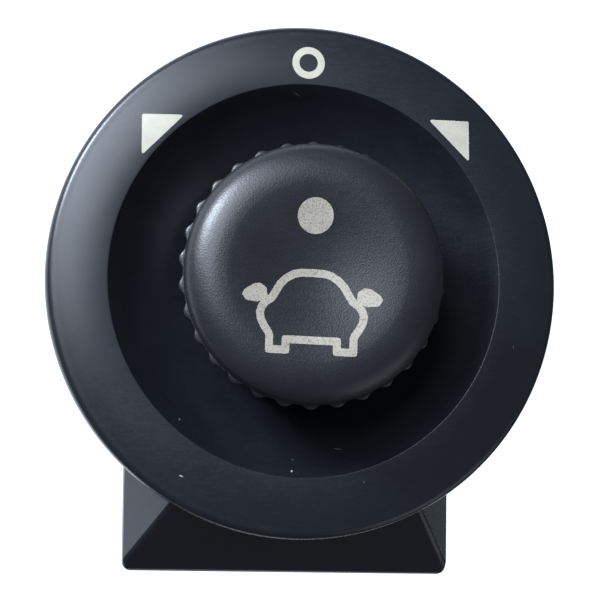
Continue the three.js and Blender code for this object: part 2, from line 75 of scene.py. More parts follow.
FLANGE_HALF_WIDTH = 13  # of the housing's flange, whose foot shows below the bezel
CREST_R = 15.35  # highest circle of the bezel
CROWN_DROP = 0.55  # fall of the rim from its crest to its edge
EDGE_R = 0.7  # rounding of the bezel's outer edge
FUNNEL_R = 8.9  # opening at the foot of the funnel that leads down to the knob
FUNNEL_BOTTOM = 27.9
CAP_CREST_R = 6.95  # highest circle of the cap, around its dish
DISH_DEPTH = 0.85
DISH_POWERS = (1.7, 1.5)  # how flat the dish is in its middle and how round at its edge
SHOULDER_Z = 36.3  # where the cap's upright side turns into its rolled shoulder
SKIRT_BOTTOM = 29.8  # lower edge of the knob
GRIP_TAPER = 0.15  # how much the grip narrows per millimetre of height towards its skirt
RIB_COUNT = 30
RIB_HALF_ANGLE = math.radians(4)
RIB_END_Z = 31.5  # the ribs run out here
SOFT_EDGE = 0.8  # rounding of the foot's visible edges
CORNER_R = 0.7  # rounding of its two lower corners
PRINT_LIFT = 0.014  # how far the printed marks stand above the plastic


# ---- Mesh helpers ----


def new_object(name, verts, faces):
    """An object in the scene from points in millimetres and faces that index them."""
    mesh = bpy.data.meshes.new(name)
    mesh.from_pydata([tuple(c * MM for c in v) for v in verts], [], faces)
    mesh.validate()
    made = bpy.data.objects.new(name, mesh)
    bpy.context.scene.collection.objects.link(made)
    return made


def edit(target, change):
    """Runs change on the object's bmesh, then points all faces outwards."""
    bm = bmesh.new()
    bm.from_mesh(target.data)
    change(bm)
    bmesh.ops.recalc_face_normals(bm, faces=bm.faces)
    bm.to_mesh(target.data)
    bm.free()
    return target


def apply_modifiers(target):
    """Replaces the object's mesh by its evaluated mesh and drops its modifiers."""
    graph = bpy.context.evaluated_depsgraph_get()
    mesh = bpy.data.meshes.new_from_object(target.evaluated_get(graph))
    target.modifiers.clear()
    target.data = mesh
    return target


def combined(base, tool, operation):
    """The base joined with or cut by the tool, which is used up."""
    boolean = base.modifiers.new("combine", "BOOLEAN")
    boolean.operation = operation
    boolean.solver = "EXACT"
    boolean.object = tool
    bpy.context.view_layer.update()
    apply_modifiers(base)
    bpy.data.objects.remove(tool)
    return base


def turned(name, profile, facets=ROUND, swell=None):
    """A closed surface of revolution from (radius, height) points.

    They start and end on the axis or close on themselves. swell(angle, radius, height) gives
    what is added to the radius.
    """
    verts = []
    rings = []
    on_axis = 1e-6
    for r, z in profile:
        if r < on_axis:
            rings.append([len(verts)])
            verts.append((0, 0, z))
            continue
        ring = []
        for k in range(facets):
            angle = 2 * math.pi * k / facets
            radius = r + (swell(angle, r, z) if swell else 0)
            ring.append(len(verts))
            verts.append((radius * math.cos(angle), radius * math.sin(angle), z))
        rings.append(ring)
    faces = []
    starts_on_axis = profile[0][0] < on_axis
    followers = rings[1:] if starts_on_axis else rings[1:] + rings[:1]
    for a, b in zip(rings, followers):
        for k in range(facets):
            k2 = (k + 1) % facets
            quad = [a[k % len(a)], a[k2 % len(a)], b[k2 % len(b)], b[k % len(b)]]
            face = list(dict.fromkeys(quad))
            if len(face) > 2:
                faces.append(face)
    return edit(new_object(name, verts, faces), lambda bm: None)


def stacked(name, rings):
    """A closed solid from rings of equally many 3D points, capped at both ends."""
    count = len(rings[0])
    verts = [point for ring in rings for point in ring]
    faces = []
    for level in range(len(rings) - 1):
        for k in range(count):
            k2 = (k + 1) % count
            low, high = level * count, (level + 1) * count
            faces.append([low + k, low + k2, high + k2, high + k])
    faces.append(list(range(count)))
    faces.append([(len(rings) - 1) * count + k for k in range(count)])
    return edit(new_object(name, verts, faces), lambda bm: None)


def bevel(bm, edges, radius, segments):
    """Rounds edges of a bmesh."""
    bmesh.ops.bevel(bm, geom=edges, offset=radius * MM, segments=segments, profile=0.5,
                    affect="EDGES", clamp_overlap=True)


def block(name, low, high, edge=0.0):
    """A box with all its edges rounded."""
    (x0, y0, z0), (x1, y1, z1) = low, high
    solid = stacked(name, [[(x0, y0, z), (x1, y0, z), (x1, y1, z), (x0, y1, z)] for z in (z0, z1)])
    if edge:
        edit(solid, lambda bm: bevel(bm, list(bm.edges), edge, 3))
    return solid


def refined(node, name, edge, soft=None):
    """A finer copy of a CAD node: facets merged and its convex edges rounded.

    soft(edge) tells which edges are rounded first, with the larger radius SOFT_EDGE.
    """
    same_point = 1e-6
    same_plane = math.radians(2)
    sharp = math.radians(28)
    shortest = 2.2 * edge * MM  # a shorter edge has no room for the rounding
    bm = bmesh.new()
    bm.from_mesh(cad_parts[node].data)
    bmesh.ops.remove_doubles(bm, verts=bm.verts, dist=same_point)
    bmesh.ops.dissolve_limit(bm, angle_limit=same_plane, verts=bm.verts, edges=bm.edges)
    bmesh.ops.recalc_face_normals(bm, faces=bm.faces)
    if soft:
        bevel(bm, [e for e in bm.edges if soft(e)], SOFT_EDGE, 6)
    corners = [e for e in bm.edges
               if len(e.link_faces) == 2 and e.is_convex
               and e.calc_face_angle() > sharp
               and e.calc_length() > shortest]
    bevel(bm, corners, edge, 3)
    points = [tuple(v.co / MM) for v in bm.verts]
    faces = [[v.index for v in f.verts] for f in bm.faces]
    bm.free()
    return new_object(name, points, faces)


def finished(target, node, body, material, smooth=35):
    """Gives a piece its finish, puts it on its body and lets it stand for its CAD node."""
    target.data.materials.clear()
    target.data.materials.append(material)
    for face in target.data.polygons:
        face.use_smooth = True
    target.data.set_sharp_from_angle(angle=math.radians(smooth))
    weighting = target.modifiers.new("even_shading", "WEIGHTED_NORMAL")
    weighting.keep_sharp = True
    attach(target, body)
    if node:
        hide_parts(node)
    return target


# ---- Materials ----


def add(tree, kind, inputs=None, **settings):
    """A shader node with its settings, and its inputs set to values or linked to sockets."""
    made = tree.nodes.new(kind)
    for key, value in settings.items():
        setattr(made, key, value)
    for key, value in (inputs or {}).items():
        if isinstance(value, bpy.types.NodeSocket):
            tree.links.new(value, made.inputs[key])
        else:
            made.inputs[key].default_value = value
    return made


def ramp(tree, value, low, high, to_low=0.0, to_high=1.0, smooth=False):
    """The value mapped from one range to another and held at the ends."""
    kind = "SMOOTHSTEP" if smooth else "LINEAR"
    inputs = {"Value": value, "From Min": low, "From Max": high, "To Min": to_low, "To Max": to_high}
    return add(tree, "ShaderNodeMapRange", inputs, interpolation_type=kind).outputs["Result"]


def noise(tree, coords, per_mm, detail=3.0, roughness=0.55):
    """Fractal noise between 0 and 1."""
    inputs = {"Vector": coords, "Scale": per_mm, "Detail": detail, "Roughness": roughness}
    return add(tree, "ShaderNodeTexNoise", inputs).outputs["Fac"]


def maths(tree, operation, a, b=0.0):
    """Two values combined by a math node."""
    return add(tree, "ShaderNodeMath", {0: a, 1: b}, operation=operation).outputs[0]


def mixed(tree, factor, a, b):
    """Two colours mixed; the mix node keeps its colour sockets at 6, 7 and 2."""
    return add(tree, "ShaderNodeMix", {0: factor, 6: a, 7: b}, data_type="RGBA").outputs[2]


def start_material(name):
    """A new material, its principled shader and its coordinates in millimetres."""
    material = bpy.data.materials.new(name)
    material.use_nodes = True
    tree = material.node_tree
    shader = tree.nodes["Principled BSDF"]
    coords = add(tree, "ShaderNodeTexCoord").outputs["Object"]
    scaled = add(tree, "ShaderNodeMapping", {"Vector": coords, "Scale": (1 / MM,) * 3}).outputs[0]
    return material, tree, shader, scaled


def connect(tree, shader, **inputs):
    """Sets the shader's inputs to values or links them to sockets; _ in a name stands for a space."""
    for key, value in inputs.items():
        socket = shader.inputs[key.replace("_", " ")]
        if isinstance(value, bpy.types.NodeSocket):
            tree.links.new(value, socket)
        else:
            socket.default_value = value


def tone(colour, factor):
    """A lighter or darker shade of a colour, with its alpha."""
    return tuple(min(1.0, c * factor) for c in colour) + (1.0,)


def bumped(tree, height, depth_mm, below=None):
    """A normal bent by a height field of that depth, on top of the one below."""
    inputs = {"Height": height, "Distance": depth_mm * MM, "Strength": 1.0}
    if below is not None:
        inputs["Normal"] = below
    return add(tree, "ShaderNodeBump", inputs).outputs[0]


def warped(tree, coords, per_mm, detail, amount):
    """Coordinates pushed about by noise, by at most the amount in millimetres."""
    bent = add(tree, "ShaderNodeTexNoise", {"Vector": coords, "Scale": per_mm, "Detail": detail})
    inputs = {0: bent.outputs["Color"], "Scale": amount}
    push = add(tree, "ShaderNodeVectorMath", inputs, operation="SCALE").outputs[0]
    return add(tree, "ShaderNodeVectorMath", {0: coords, 1: push}, operation="ADD").outputs[0]


def specks(tree, coords, per_mm, size, share):
    """A mask of small scattered flecks with ragged outlines."""
    moved = warped(tree, coords, 5.0, 2.0, 0.5)
    cells = add(tree, "ShaderNodeTexVoronoi", {"Vector": moved, "Scale": per_mm, "Randomness": 1.0})
    dot = ramp(tree, cells.outputs["Distance"], size, size * 0.6)
    chosen = add(tree, "ShaderNodeSeparateColor", {"Color": cells.outputs["Color"]}).outputs[0]
    kept = maths(tree, "LESS_THAN", chosen, share)
    return maths(tree, "MULTIPLY", dot, kept)


def scuff(tree, coords, centre, size, degrees):
    """A mask of one small elongated scuff on the bezel, ragged at its edge."""
    reach_in_height = 4.0
    where = {"Vector": coords, "Location": (*centre, RIM_TOP), "Rotation": (0, 0, math.radians(degrees)),
             "Scale": (size[0] / 2, size[1] / 2, reach_in_height)}
    placed = add(tree, "ShaderNodeMapping", where, vector_type="TEXTURE").outputs[0]
    away = add(tree, "ShaderNodeVectorMath", {0: placed}, operation="LENGTH").outputs["Value"]
    ragged = maths(tree, "ADD", away, noise(tree, coords, 9.0, 2))
    return ramp(tree, ragged, 1.6, 1.1)


def moulded_plastic(name, colour, roughness, grain_per_mm, grain_depth, leather=0.0, dust=0.12, scuffs=()):
    """Satin moulded plastic: fine grain, cloudy gloss, handling streaks and a little dust."""
    material, tree, shader, coords = start_material(name)
    cloud = noise(tree, coords, 0.22, 4)
    fine = noise(tree, coords, grain_per_mm, 2)
    streak_space = add(tree, "ShaderNodeMapping", {"Vector": coords, "Scale": (0.5, 3.0, 0.5)}).outputs[0]
    streaks = noise(tree, streak_space, 1.4, 3)
    body = mixed(tree, ramp(tree, cloud, 0.35, 0.65), tone(colour, 0.9), tone(colour, 1.12))
    dots = specks(tree, coords, 0.6, 0.04, dust)
    dusty = mixed(tree, maths(tree, "MULTIPLY", dots, 0.6), body, (0.2, 0.2, 0.2, 1))
    for centre, size, degrees, paleness in scuffs:
        mark = scuff(tree, coords, centre, size, degrees)
        dusty = mixed(tree, mark, dusty, (paleness, paleness, paleness, 1))
    gloss = maths(tree, "ADD", ramp(tree, cloud, 0.3, 0.7, -0.016, 0.016),
                  ramp(tree, streaks, 0.3, 0.7, -0.025, 0.025))
    gloss = maths(tree, "ADD", gloss, ramp(tree, fine, 0.3, 0.7, roughness - 0.03, roughness + 0.03))
    gloss = maths(tree, "MAXIMUM", gloss, maths(tree, "MULTIPLY", dots, 0.8))
    normal = bumped(tree, fine, grain_depth)
    if leather:
        inputs = {"Vector": warped(tree, coords, 2.5, 1.0, 0.25), "Scale": 6.5, "Smoothness": 0.5}
        cells = add(tree, "ShaderNodeTexVoronoi", inputs, feature="SMOOTH_F1")
        normal = bumped(tree, cells.outputs["Distance"], leather, below=normal)
    connect(tree, shader, Base_Color=dusty, Roughness=gloss, Normal=normal, IOR=1.48)
    return material


def printed(name, colour, wear):
    """Pale pad printing; wear lets dark specks and thin spots through."""
    material, tree, shader, coords = start_material(name)
    cloud = noise(tree, coords, 0.9, 3)
    flecks = noise(tree, coords, 7.5, 3, 0.7)
    worn = ramp(tree, flecks, 0.60 - 0.10 * wear, 0.76 - 0.10 * wear)
    worn = maths(tree, "MULTIPLY", worn, 0.2 + 0.5 * wear)
    paint = mixed(tree, ramp(tree, cloud, 0.3, 0.7), tone(colour, 0.92), tone(colour, 1.06))
    shown = mixed(tree, worn, paint, (0.05, 0.05, 0.045, 1))
    normal = bumped(tree, flecks, 0.006)
    connect(tree, shader, Base_Color=shown, Roughness=ramp(tree, cloud, 0.3, 0.7, 0.45, 0.6), Normal=normal)
    return material


def natural_plastic(name, colour, roughness=0.45):
    """Unpigmented engineering plastic for inner parts: slightly waxy and translucent."""
    material, tree, shader, coords = start_material(name)
    cloud = noise(tree, coords, 0.3, 4)
    fine = noise(tree, coords, 7, 2)
    body = mixed(tree, ramp(tree, cloud, 0.3, 0.7), tone(colour, 0.9), tone(colour, 1.06))
    normal = bumped(tree, fine, 0.006)
    gloss = ramp(tree, cloud, 0.3, 0.7, roughness - 0.06, roughness + 0.08)
    connect(tree, shader, Base_Color=body, Roughness=gloss, Normal=normal)
    shader.inputs["Subsurface Weight"].default_value = 0.15
    shader.inputs["Subsurface Radius"].default_value = (0.8 * MM, 0.7 * MM, 0.5 * MM)
    shader.inputs["Subsurface Scale"].default_value = 1.0
    return material


def metal(name, colour, roughness):
    """Rolled or drawn metal with fine lengthwise lines."""
    material, tree, shader, coords = start_material(name)
    drawn = add(tree, "ShaderNodeMapping", {"Vector": coords, "Scale": (6.0, 6.0, 0.6)}).outputs[0]
    lines = noise(tree, drawn, 1.6, 4)
    stain = noise(tree, coords, 0.7, 3)
    body = mixed(tree, ramp(tree, stain, 0.4, 0.75), tone(colour, 1.0), tone(colour, 0.72))
    gloss = ramp(tree, lines, 0.25, 0.75, roughness - 0.08, roughness + 0.12)
    normal = bumped(tree, lines, 0.004)
    connect(tree, shader, Base_Color=body, Roughness=gloss, Normal=normal, Metallic=1.0)
    return material


def board_laminate(name):
    """Glass-epoxy board under a green solder mask, with the weave faintly showing."""
    material, tree, shader, coords = start_material(name)
    threads = {"Vector": coords, "Scale": 1.1, "Distortion": 0.3}
    warp = add(tree, "ShaderNodeTexWave", threads, bands_direction="X")
    weft = add(tree, "ShaderNodeTexWave", threads, bands_direction="Y")
    weave = maths(tree, "MULTIPLY", warp.outputs["Fac"], weft.outputs["Fac"])
    cloud = noise(tree, coords, 0.4, 3)
    mask = mixed(tree, ramp(tree, weave, 0.1, 0.9), (0.012, 0.075, 0.028, 1), (0.022, 0.11, 0.042, 1))
    gloss = ramp(tree, cloud, 0.3, 0.7, 0.28, 0.4)
    normal = bumped(tree, weave, 0.004)
    connect(tree, shader, Base_Color=mask, Roughness=gloss, Normal=normal)
    return material


# Small bright scuffs on the bezel: centre, length and width, direction and paleness.
SCUFFS = (
    ((-9.37, -15.3), (0.34, 0.11), -20, 0.3),
    ((-0.8, -14.77), (0.18, 0.17), 0, 0.3),
    ((-0.6, -13.85), (0.18, 0.14), 0, 0.06),
    ((3.0, -12.93), (0.85, 0.12), -5, 0.07),
    ((-0.77, 14.64), (0.75, 0.08), -25, 0.05),
    ((-9.51, -10.94), (0.26, 0.18), 80, 0.07),
)
BLACK = moulded_plastic("black_plastic", (0.0052, 0.0060, 0.0082), 0.34, 6.0, 0.0035, scuffs=SCUFFS)
KNOB_BLACK = moulded_plastic("knob_plastic", (0.0085, 0.0088, 0.0105), 0.385, 8.0, 0.003,
                             leather=0.008, dust=0.06)
CLEAN_PRINT = printed("mark_print", (0.34, 0.32, 0.255), 0.1)
WORN_PRINT = printed("symbol_print", (0.283, 0.256, 0.205), 1.0)
NATURAL = natural_plastic("natural_plastic", (0.66, 0.63, 0.54))
SILICONE = natural_plastic("silicone", (0.42, 0.43, 0.40), 0.62)
SPRING_STEEL = metal("spring_steel", (0.42, 0.42, 0.43), 0.3)
CONTACT_METAL = metal("contact_metal", (0.62, 0.57, 0.45), 0.28)
LAMINATE = board_laminate("board_laminate")


# ---- Outer mouldings ----


def rim_height(r):
    """Height of the bezel's crowned rim at a distance from the axis."""
    along = max(0.0, r - CREST_R) / (BEZEL_R - EDGE_R - CREST_R)
    return RIM_TOP - CROWN_DROP * along * along


def dish_height(r):
    """Height of the cap's fingertip dish at a distance from the axis."""
    inner, outer = DISH_POWERS
    return KNOB_TOP - DISH_DEPTH * (1 - (min(r, CAP_CREST_R) / CAP_CREST_R) ** inner) ** outer


def arc(centre, semi_axes, from_angle, to_angle, steps):
    """Points in a plane on an arc of a circle or ellipse, angles in degrees."""
    angles = np.radians(np.linspace(from_angle, to_angle, steps + 1))
    return [(centre[0] + semi_axes[0] * math.cos(a), centre[1] + semi_axes[1] * math.sin(a))
            for a in angles]


def curve(start, control, end, steps):
    """Points on a smooth bend between two points."""
    shares = np.linspace(0, 1, steps + 1)
    return [tuple((1 - t) ** 2 * a + 2 * t * (1 - t) * b + t ** 2 * c for a, b, c in zip(start, control, end))
            for t in shares]


def bezel():
    """Crowned rim, funnel down to the knob, skirt behind it and four lugs for the collar."""
    crest_round = 0.08
    edge_z = rim_height(BEZEL_R - EDGE_R) - EDGE_R
    wall_bottom = 29.5
    wall_inner = 18.9
    underside = 30.1
    lip_bottom = 27.2
    lip_round = 0.12
    skirt_inner, skirt_outer = 14.9, 16.0
    chamfer = 0.1
    edge_chamfer = 0.15
    funnel_start, funnel_bend = (14.4, 30.84), (12.4, 28.9)
    funnel_end = (FUNNEL_R + 0.2, FUNNEL_BOTTOM + 0.05)
    crown = [(r, rim_height(r)) for r in np.linspace(BEZEL_R - EDGE_R, CREST_R, 24)]
    profile = [
        (BEZEL_R - edge_chamfer, wall_bottom),
        (BEZEL_R, wall_bottom + edge_chamfer),
        *arc((BEZEL_R - EDGE_R, edge_z), (EDGE_R, EDGE_R), 0, 73, 10),
        *crown,
        *arc((CREST_R, RIM_TOP - crest_round), (crest_round, crest_round), 90, 134, 5)[1:],
        *curve(funnel_start, funnel_bend, funnel_end, 12),
        *arc((FUNNEL_R + lip_round, FUNNEL_BOTTOM - 0.09), (lip_round, lip_round), 115, 180, 4),
        (FUNNEL_R, lip_bottom + 0.05),
        (FUNNEL_R + 0.05, lip_bottom),
        (12, lip_bottom),
        (skirt_inner, underside),
        (skirt_inner, BEZEL_BOTTOM + chamfer),
        (skirt_inner + chamfer, BEZEL_BOTTOM),
        (skirt_outer - chamfer, BEZEL_BOTTOM),
        (skirt_outer, BEZEL_BOTTOM + chamfer),
        (skirt_outer, underside),
        (wall_inner, underside),
        (wall_inner, wall_bottom + chamfer),
        (wall_inner + chamfer, wall_bottom),
    ]
    shell = turned("bezel_moulding", profile)
    lug_low, lug_high = (13.9, -1.5, 27.15), (15.2, 1.5, 27.65)
    for angle in (45, 135, 225, 315):
        lug = block("lug", lug_low, lug_high, chamfer)
        lug.data.transform(Matrix.Rotation(math.radians(angle), 4, "Z"))
        combined(shell, lug, "UNION")
    finished(shell, "bezel", "base", BLACK, 30)


def grip_radius(z):
    """Radius of the grip between its ribs."""
    return CAP_R - GRIP_TAPER * (GRIP_TOP - z)


def rib_swell(angle, r, z):
    """How far a rib stands out of the grip at this angle: rounded over at the top, run out below."""
    inside = r < grip_radius(z) - 0.5
    if inside or z < RIB_END_Z:
        return 0
    pitch = 2 * math.pi / RIB_COUNT
    offset = abs((angle % pitch) - pitch / 2)
    lift = math.cos(math.pi / 2 * min(1, offset / RIB_HALF_ANGLE))
    growth = (z - RIB_END_Z) / (GRIP_TOP - RIB_END_Z)
    end_round = 0.4
    end_share = 0.45  # height of a rib at its very top, as a share of its full height
    fade = math.sqrt(max(0.0, 1 - (1 - min(1, (GRIP_TOP - z) / end_round)) ** 2))
    return (KNOB_R - CAP_R) * lift * growth * (end_share + (1 - end_share) * fade)


def knob_grip():
    """Ribbed grip with its skirt, web and hub."""
    web_bottom, web_top = 33.7, 34.9
    recess_r, wall = 8.9, 1.0
    hub_r, hub_bottom, bore_r = 2.9, 26.4, 1.9
    edge = 0.12
    inner_edge = edge * 0.3  # an edge is rounded over one point between its two ends
    levels = np.concatenate([np.linspace(GRIP_TOP - edge, GRIP_TOP - 0.5, 8),
                             np.linspace(GRIP_TOP - 0.8, RIB_END_Z, 8),
                             np.linspace(RIB_END_Z - 0.4, SKIRT_BOTTOM + edge, 6)])
    skirt_r = grip_radius(SKIRT_BOTTOM)
    profile = [
        (0, web_top),
        (recess_r, web_top),
        (recess_r, GRIP_TOP),
        (CAP_R - edge, GRIP_TOP),
        (CAP_R - inner_edge, GRIP_TOP - inner_edge),
        *[(grip_radius(z), z) for z in levels],
        (skirt_r - inner_edge, SKIRT_BOTTOM + inner_edge),
        (skirt_r - edge, SKIRT_BOTTOM),
        (skirt_r - wall, SKIRT_BOTTOM),
        (grip_radius(web_bottom) - wall, web_bottom),
        (hub_r, web_bottom),
        (hub_r, hub_bottom),
        (bore_r, hub_bottom),
        (bore_r, web_bottom),
        (0, web_bottom),
    ]
    facets_per_rib = 14
    grip = turned("knob_grip_moulding", profile, RIB_COUNT * facets_per_rib, rib_swell)
    finished(grip, "knob_grip", "knob", KNOB_BLACK, 40)


def knob_cap():
    """Cap with a rolled shoulder around the fingertip dish and a locating ring below."""
    bottom = GRIP_TOP + 0.3
    ring_inner, ring_outer, ring_bottom = 7.9, 8.6, bottom - 0.7
    chamfer = 0.12
    dish = [(r, dish_height(r)) for r in CAP_CREST_R * (1 - np.linspace(0, 1, 60) ** 1.5)]
    fullness = 2 / 2.2  # a little squarer than an ellipse, whose value is 1
    shoulder = [(CAP_CREST_R + (CAP_R - CAP_CREST_R) * math.cos(a) ** fullness,
                 SHOULDER_Z + (KNOB_TOP - SHOULDER_Z) * math.sin(a) ** fullness)
                for a in np.radians(np.linspace(0, 89.9, 30))]
    profile = [
        (0, bottom),
        (ring_inner, bottom),
        (ring_inner, ring_bottom),
        (ring_outer, ring_bottom),
        (ring_outer, bottom),
        (CAP_R - chamfer, bottom),
        (CAP_R, bottom + chamfer),
        *shoulder,
        *dish,
    ]
    cap = turned("knob_cap_moulding", profile)
    finished(cap, "knob_cap", "knob", KNOB_BLACK, 40)


bezel()
knob_grip()
knob_cap()


# ---- Printed marks ----
# Each is a thin plate whose outline is the zero line of a distance field and whose top
# follows the moulded surface.


def to_circle(x, y, cx, cy, radius):
    """Signed distance to a circle."""
    return np.hypot(x - cx, y - cy) - radius


def to_line(x, y, points, closed=False):
    """Distance to a line through the points."""
    points = np.array(points, float)
    ends = np.roll(points, -1, 0) if closed else points[1:]
    best = np.full(np.shape(x), 1e9)
    for a, b in zip(points, ends):
        run = b - a
        share = np.clip(((x - a[0]) * run[0] + (y - a[1]) * run[1]) / (run @ run), 0, 1)
        best = np.minimum(best, np.hypot(x - a[0] - share * run[0], y - a[1] - share * run[1]))
    return best


def to_polygon(x, y, points, rounding=0.0):
    """Signed distance to a polygon grown by a rounding."""
    inside = np.zeros(np.shape(x), bool)
    for (ax, ay), (bx, by) in zip(points, points[1:] + points[:1]):
        crosses = (ay > y) != (by > y)
        at = ax + (y - ay) * (bx - ax) / (by - ay if by != ay else 1e-9)
        inside ^= crosses & (x < at)
    away = to_line(x, y, points, closed=True)
    return np.where(inside, -away, away) - rounding


def clipped(corners):
    """Outline of the part of a cell that lies inside a shape, from its (x, y, distance) corners."""
    kept = []
    for (ax, ay, ad), (bx, by, bd) in zip(corners, corners[1:] + corners[:1]):
        if ad <= 0:
            kept.append((ax, ay))
        if (ad <= 0) != (bd <= 0):
            share = ad / (ad - bd)
            kept.append((ax + share * (bx - ax), ay + share * (by - ay)))
    return kept


def print_plate(name, body, material, field, box, height):
    """A thin printed mark: field(x, y) is its distance field and height(r) the surface below.

    The box holds the mark's lowest and highest x and y.
    """
    cell = 0.07
    xs = np.arange(box[0], box[2] + cell, cell)
    ys = np.arange(box[1], box[3] + cell, cell)
    grid_x, grid_y = np.meshgrid(xs, ys, indexing="ij")
    distance = field(grid_x, grid_y)
    index = {}
    verts = []
    faces = []

    def vertex(x, y):
        key = (round(x, 5), round(y, 5))
        if key not in index:
            index[key] = len(verts)
            verts.append((x, y, height(math.hypot(x, y)) + PRINT_LIFT))
        return index[key]

    for i in range(len(xs) - 1):
        for j in range(len(ys) - 1):
            around = [(i, j), (i + 1, j), (i + 1, j + 1), (i, j + 1)]
            if all(distance[k] > 0 for k in around):
                continue
            corners = [(xs[a], ys[b], distance[a, b]) for a, b in around]
            face = list(dict.fromkeys(vertex(x, y) for x, y in clipped(corners)))
            if len(face) > 2:
                faces.append(face)
    plate = new_object(name, verts, faces)

    def thicken(bm):
        top = list(bm.faces)
        copied = bmesh.ops.duplicate(bm, geom=top)
        lower = [g for g in copied["geom"] if isinstance(g, bmesh.types.BMVert)]
        for v in lower:
            v.co.z -= 2 * PRINT_LIFT * MM
        bmesh.ops.reverse_faces(bm, faces=[g for g in copied["geom"] if isinstance(g, bmesh.types.BMFace)])
        below = copied["vert_map"]
        for edge in [e for e in bm.edges if e.is_boundary and e.verts[0] in below and e.link_faces[0] in top]:
            a, b = edge.verts
            pair = (below[a], below[b])
            if isinstance(pair[0], bmesh.types.BMVert):
                bm.faces.new((a, b, pair[1], pair[0]))

    edit(plate, thicken)
    finished(plate, None, body, material, 30)


def bezel_marks():
    """The zero ring at the top and the two triangles for the left and right mirror."""
    ring_x, ring_y = 0.08, 17.04
    ring_mid, ring_width = 1.0, 0.55
    reach = 1.5
    print_plate(
        "zero_mark", "base", CLEAN_PRINT,
        lambda x, y: np.abs(to_circle(x, y, ring_x, ring_y, ring_mid)) - ring_width / 2,
        (ring_x - reach, ring_y - reach, ring_x + reach, ring_y + reach), rim_height,
    )
    leg = 3.25
    rounding = 0.1
    far = leg - 2.4 * rounding  # the rounding sticks out further at the pointed corners
    for name, side, corner_y in (("left_mirror_mark", -1, 12.58), ("right_mirror_mark", 1, 12.88)):
        corner_x = side * 12.86
        points = [
            (corner_x - side * rounding, corner_y - rounding),
            (corner_x - side * far, corner_y - rounding),
            (corner_x - side * rounding, corner_y - far),
        ]
        print_plate(
            name, "base", CLEAN_PRINT,
            lambda x, y, p=points: to_polygon(x, y, p, rounding),
            (min(corner_x, corner_x - side * leg), corner_y - leg - 0.1,
             max(corner_x, corner_x - side * leg), corner_y + 0.1), rim_height,
        )


def knob_marks():
    """Pointer dot and the outline of a car with its two door mirrors."""
    print_shift = -0.33  # the print sits a little off the knob's axis
    print_turn = math.radians(-1.4)
    stroke = 0.6
    half_car = [
        (0, -0.07), (0.9, -0.10), (1.45, -0.24), (2.0, -0.58), (2.45, -1.05), (2.85, -1.75), (3.1, -2.15),
        (3.5, -2.42), (3.82, -2.8), (3.96, -3.25), (3.88, -3.75), (3.6, -4.3), (3.3, -4.72), (3.2, -5.0),
        (3.2, -6.02), (1.95, -6.02), (1.95, -5.22),
    ]
    outline = half_car + [(-x, y) for x, y in reversed(half_car[1:])]
    corners = [(3.2, -6.02), (1.95, -6.02), (1.95, -5.22)]
    mirror = [(3.52, -1.95), (3.58, -1.45), (4.0, -1.16), (4.42, -1.22), (5.1, -1.66), (5.26, -1.96),
              (5.0, -2.32), (4.2, -2.4), (3.75, -2.25)]
    rounding = 0.1
    dot_x, dot_y, dot_r = 0.03, 4.24, 1.37

    def local(x, y):
        """Coordinates in the print's own frame."""
        dx = x - print_shift
        c, s = math.cos(print_turn), math.sin(print_turn)
        return c * dx + s * y, c * y - s * dx

    def car(x, y):
        px, py = local(x, y)
        shape = to_line(px, py, outline, closed=True) - stroke / 2
        for side in (-1, 1):
            for cx, cy in corners:
                square = np.maximum(np.abs(px - side * cx), np.abs(py - cy)) - (stroke / 2 - 0.04)
                shape = np.minimum(shape, square)
            shape = np.minimum(shape, to_polygon(side * px, py, mirror, rounding))
        return shape

    def dot(x, y):
        px, py = local(x, y)
        return to_circle(px, py, dot_x, dot_y, dot_r)

    print_plate("car_symbol", "knob", WORN_PRINT, car, (-6.2, -7, 5.5, 0.7), dish_height)
    print_plate("pointer_dot", "knob", WORN_PRINT, dot, (-2.2, 2.6, 1.8, 5.9), dish_height)


bezel_marks()
knob_marks()


# ---- Housing and inner pieces ----

# Per node: its body, slot, material and the rounding of its edges.
REFINED = {
    "housing": ("base", "black_plastic", BLACK, 0.14),
    "rear_cover": ("base", "black_plastic", BLACK, 0.14),
    "circuit_board": ("base", "board_laminate", LAMINATE, 0.05),
    "dome_mat": ("base", "silicone", SILICONE, 0.08),
    "guide_deck": ("base", "natural_plastic", NATURAL, 0.08),
    "detent_spring_1": ("base", "spring_steel", SPRING_STEEL, 0.03),
    "detent_spring_2": ("base", "spring_steel", SPRING_STEEL, 0.03),
    "gimbal_ring": ("gimbal", "natural_plastic", NATURAL, 0.1),
    "swash_plate": ("swash", "natural_plastic", NATURAL, 0.1),
    "stem": ("knob", "natural_plastic", NATURAL, 0.1),
    "selector_rotor": ("rotor", "natural_plastic", NATURAL, 0.07),
    "wiper_contact": ("rotor", "contact_metal", CONTACT_METAL, 0.03),
}
for direction in ("right", "up", "left", "down"):
    REFINED[f"plunger_{direction}"] = (f"{direction}_plunger", "natural_plastic", NATURAL, 0.06)
for number in range(1, 9):
    REFINED[f"terminal_{number}"] = ("base", "contact_metal", CONTACT_METAL, 0.04)


def is_flange_edge(edge):
    """Whether an edge bounds the bevels of the housing's foot."""
    flange_rear, foot_start, bezel_seat = 22.3, -8.1, 16.4
    points = [v.co / MM for v in edge.verts]
    in_front = all(p.z > flange_rear and p.y < foot_start and math.hypot(p.x, p.y) > bezel_seat
                   for p in points)
    return in_front and len(edge.link_faces) == 2 and edge.is_convex


